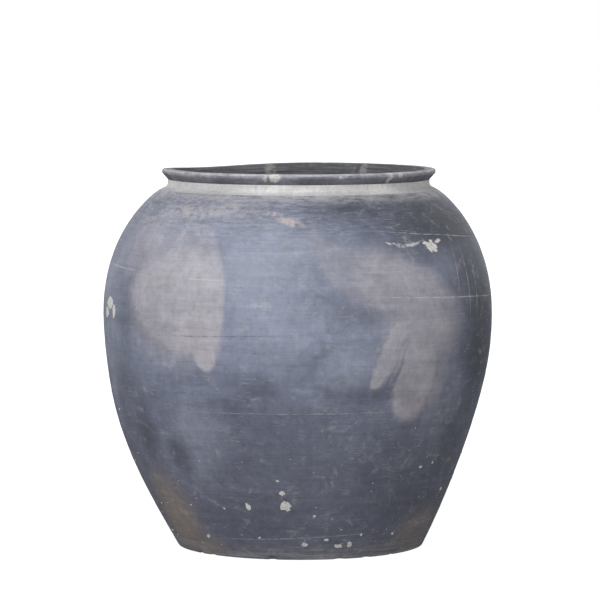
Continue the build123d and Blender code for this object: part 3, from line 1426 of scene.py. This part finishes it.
@dataclass(frozen=True)
class LimeCrust:
    """Dried hard-water lime: off-white, dead matt and cracked at the edges."""

    lime: str = "#e0dedb"
    stain: str = "#a8a6a5"
    grain: float = 0.3 * MM

    def make(self) -> bpy.types.Material:
        """Build the material."""
        job = Dressing("dried_lime_crust")
        mottle = job.noise(3 * MM, 5, roughness=0.7)
        colour = job.coated(self.lime, (self.stain, (mottle, 0.45, 0.75)))
        return job.surface(colour, 0.95, mottle, self.grain)


@dataclass(frozen=True)
class Flake:
    """One flake of lime: where it sits, its half sizes and its tilt in degrees."""

    azimuth: float
    height: float
    half_width: float
    half_height: float
    tilt: float = 0.0


@dataclass
class LimeCrusts:
    """Thin flakes of lime left on the wall, all as one piece."""

    crock: Crock
    thickness: float = 0.45 * MM
    corners: int = 22
    raggedness: float = 0.42
    seed: int = 5
    flakes: tuple[Flake, ...] = (
        Flake(46.8, 0.3940, 8 * MM, 9.5 * MM, 12),
        Flake(50.5, 0.4005, 6 * MM, 2.6 * MM, 20),
        Flake(44.5, 0.3985, 6 * MM, 2.5 * MM, -10),
        Flake(-72.5, 0.3165, 14 * MM, 7 * MM, 8),
        Flake(-68.5, 0.307, 5 * MM, 8 * MM, 0),
        Flake(-75.5, 0.304, 8 * MM, 6 * MM, 0),
        Flake(-4.3, 0.072, 6.5 * MM, 7.5 * MM, 20),
        Flake(-5.5, 0.089, 3.5 * MM, 3 * MM, 0),
        Flake(-18.6, 0.070, 3 * MM, 6 * MM, 14),
        Flake(17.6, 0.0166, 5 * MM, 3.5 * MM, -8),
        Flake(22.5, 0.0190, 3 * MM, 5 * MM, 0),
        Flake(3.0, 0.0200, 4 * MM, 3 * MM, 10),
        Flake(133, 0.27, 8 * MM, 5 * MM, 10),
        Flake(-150, 0.36, 6 * MM, 8 * MM, -20),
        Flake(172, 0.11, 7 * MM, 9 * MM, 15),
        Flake(96, 0.08, 5 * MM, 6 * MM, 0),
    )
    stand_off: float = 2 * MM
    crease: float = math.radians(50)
    small: int = 130
    small_half: tuple[float, float] = (0.6 * MM, 2.2 * MM)
    small_squash: tuple[float, float] = (0.6, 1.4)
    small_tilt: float = 40
    small_height: tuple[float, float] = (0.007, 0.2)
    size_bias: float = 3
    foot_bias: float = 2.6

    def scatter(self) -> list[Flake]:
        """Add small flakes over the lower wall to the placed ones."""
        chance = random.Random(self.seed)
        (least, more), (low, rise) = self.small_half, self.small_height
        strewn = []
        for _ in range(self.small):
            half = least + more * chance.random() ** self.size_bias
            strewn.append(
                Flake(
                    chance.uniform(-180, 180),
                    low + rise * chance.random() ** self.foot_bias,
                    half,
                    half * chance.uniform(*self.small_squash),
                    chance.uniform(-self.small_tilt, self.small_tilt),
                )
            )
        return [*self.flakes, *strewn]

    def build(self, crust: bpy.types.Material, wall: list[bpy.types.Object]) -> bpy.types.Object:
        """Model the flakes on the wall and join them.

        Args:
            crust: the lime's finish.
            wall: the wall's pieces, already shaped.

        Returns:
            The flakes, as one piece.
        """
        target = self.cover(wall)
        made = [self.lay(flake, number, target) for number, flake in enumerate(self.scatter())]
        remove(target)
        gather(made)
        bpy.ops.object.join()
        crusts = bpy.context.object
        crusts.name = crusts.data.name = "lime_crusts"
        bpy.ops.object.transform_apply(location=True, rotation=True, scale=True)
        dress(crusts, crust)
        keep_places(crusts)
        bpy.ops.object.shade_smooth_by_angle(angle=self.crease)
        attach(crusts, "root")
        log.info("%s: %d flakes", crusts.name, len(made))
        return crusts

    def cover(self, wall: list[bpy.types.Object]) -> bpy.types.Object:
        """Copy the wall's pieces into one mesh that flakes can be laid on."""
        gather(wall)
        bpy.ops.object.duplicate()
        bpy.ops.object.join()
        return bpy.context.object

    def lay(self, flake: Flake, number: int, wall: bpy.types.Object) -> bpy.types.Object:
        """Model one flake on the wall.

        Args:
            flake: the flake.
            number: its place in the list, which seeds its outline.
            wall: the whole wall as one mesh.

        Returns:
            The flake.
        """
        radius = self.crock.outside.at(flake.height)[0] + self.stand_off
        turned = math.radians(flake.azimuth)
        where = (radius * math.sin(turned), -radius * math.cos(turned), flake.height)
        deselect()
        bpy.ops.mesh.primitive_circle_add(
            vertices=self.corners,
            radius=1,
            fill_type="NGON",
            location=where,
            rotation=(math.radians(90), 0, turned),
        )
        piece = bpy.context.object
        piece.scale = (flake.half_width, flake.half_height, 1)
        bpy.ops.object.transform_apply(location=False, rotation=False, scale=True)
        piece.rotation_euler.rotate_axis("Z", math.radians(flake.tilt))
        small = min(flake.half_width, flake.half_height)
        bpy.ops.object.mode_set(mode="EDIT")
        bpy.ops.mesh.select_all(action="SELECT")
        bpy.ops.transform.vertex_random(offset=self.raggedness * small, uniform=0.3, seed=number)
        bpy.ops.mesh.poke()
        bpy.ops.mesh.subdivide(number_cuts=1)
        bpy.ops.object.mode_set(mode="OBJECT")
        apply_modifier(piece, "SHRINKWRAP", target=wall, wrap_method="NEAREST_SURFACEPOINT")
        apply_modifier(piece, "SOLIDIFY", thickness=2 * self.thickness, offset=0)
        return piece


def keep_places(piece: bpy.types.Object) -> None:
    """Keep each vertex's place before shaping, which the finishes' patterns read."""
    places = piece.data.attributes.new(PLACES, "FLOAT_VECTOR", "POINT")
    for place, vertex in zip(places.data, piece.data.vertices, strict=True):
        place.vector = vertex.co


@dataclass(frozen=True)
class Lamp:
    """A square soft lamp, with its place, its side and its power in watts."""

    name: str
    place: tuple[float, float, float]
    side: float
    power: float

    def hang(self) -> None:
        """Hang the lamp so that it looks at the crock's middle."""
        middle = (cad_box[0] + cad_box[1]) / 2
        aim = (middle - Vector(self.place)).to_track_quat("-Z", "Y").to_euler()
        bpy.ops.object.light_add(type="AREA", location=self.place, rotation=aim)
        lamp = bpy.context.object
        lamp.name = lamp.data.name = self.name
        lamp.data.size = self.side
        lamp.data.energy = self.power


@dataclass(frozen=True)
class Studio:
    """A white sweep, a large soft key from the upper left and the camera in front."""

    floor_size: float = 30.0
    floor_gap: float = 0.5 * MM
    floor_colour: str = "#f4f4f4"
    floor_glow: float = 1.28
    floor_bounce: str = "#9a9a9a"
    shadow_reach: tuple[float, float] = (0.3, 1.2)
    least_glow: float = 0.72
    lamps: tuple[Lamp, ...] = (
        Lamp("key", (-1.35, -2.5, 2.0), 1.6, 70.0),
        Lamp("fill", (2.4, -2.0, 1.0), 2.0, 15.0),
    )
    sky: float = 0.46
    camera_place: tuple[float, float, float] = (0.003, -5.0, 0.712)
    camera_fall: float = 4.55
    lens: float = 234.0
    view_end: float = 100.0

    def build(self) -> None:
        """Set up the floor, the world, the lamps and the camera."""
        self.lay_floor()
        self.light_world()
        for lamp in self.lamps:
            lamp.hang()
        self.place_camera()
        bpy.context.scene.view_settings.view_transform = "Standard"

    def lay_floor(self) -> None:
        """Lay a white floor that keeps the crock's shadow.

        The camera sees it lit as it is near the crock, and glowing white further off. The crock
        gets a plain grey bounce from it, and from below it is clear.
        """
        deselect()
        bpy.ops.mesh.primitive_plane_add(size=self.floor_size, location=(0, 0, -self.floor_gap))
        floor = bpy.context.object
        floor.name = "floor"
        material = bpy.data.materials.new("white_sweep")
        material.use_nodes = True
        tree = material.node_tree
        tree.nodes.clear()
        paper = add(tree, "BsdfDiffuse", {"Color": linear(self.floor_colour)})
        lit = add(tree, "Emission", {"Color": (1, 1, 1, 1), "Strength": self.floor_glow})
        seen = add(tree, "LightPath")
        place = add(tree, "TexCoord", output=3)
        reach = add(tree, "VectorMath", {0: place}, output=1, operation="LENGTH")
        spread = {0: reach, 1: self.shadow_reach[0], 2: self.shadow_reach[1], 3: self.least_glow}
        far = add(tree, "MapRange", spread, interpolation_type="SMOOTHSTEP")
        bright = add(tree, "MixShader", {0: far, 1: paper, 2: lit})
        dull = add(tree, "BsdfDiffuse", {"Color": linear(self.floor_bounce)})
        front = add(tree, "MixShader", {0: seen, 1: dull, 2: bright})
        under = add(tree, "NewGeometry", output=6)
        clear = add(tree, "BsdfTransparent")
        both = add(tree, "MixShader", {0: under, 1: front, 2: clear})
        add(tree, "OutputMaterial", {"Surface": both})
        floor.data.materials.append(material)

    def light_world(self) -> None:
        """White where the camera or a reflection looks, and a plainer level elsewhere."""
        world = bpy.data.worlds.new("studio")
        bpy.context.scene.world = world
        world.use_nodes = True
        tree = world.node_tree
        tree.nodes.clear()
        path = add(tree, "LightPath").node
        looked = path.outputs["Is Camera Ray"]
        for ray in ("Is Glossy Ray", "Is Transmission Ray"):
            looked = add(tree, "Math", {0: looked, 1: path.outputs[ray]}, operation="MAXIMUM")
        level = add(tree, "MapRange", {"Value": looked, "To Min": self.sky, "To Max": 1.0})
        shown = add(tree, "Background", {"Color": (1, 1, 1, 1), "Strength": level})
        add(tree, "OutputWorld", {"Surface": shown})

    def place_camera(self) -> None:
        """Stand the camera well back, looking slightly down."""
        aim = (math.radians(90 - self.camera_fall), 0, 0)
        bpy.ops.object.camera_add(location=self.camera_place, rotation=aim)
        camera = bpy.context.object
        camera.data.lens = self.lens
        camera.data.clip_end = self.view_end
        bpy.context.scene.camera = camera


def main() -> None:
    """Build the crock and its studio."""
    logging.basicConfig(level=logging.INFO, format="%(name)s: %(message)s")
    skin, inside = BurnishedSkin().make(), SootyInside().make()
    crock = Crock()
    FloorSlab(crock).build(skin, inside, DrySole().make())
    CornerCoil(crock).build(inside)
    wall = [WallCourse(crock, number).build(skin, inside) for number in range(1, COURSES + 1)]
    NeckCollar(crock).build(ChalkyNeck().make(), inside)
    Lip(crock).build(WornRim().make(), inside)
    LimeCrusts(crock).build(LimeCrust().make(), wall)
    remove(crock.lattice)
    Studio().build()


if __name__ == "__main__":
    main()
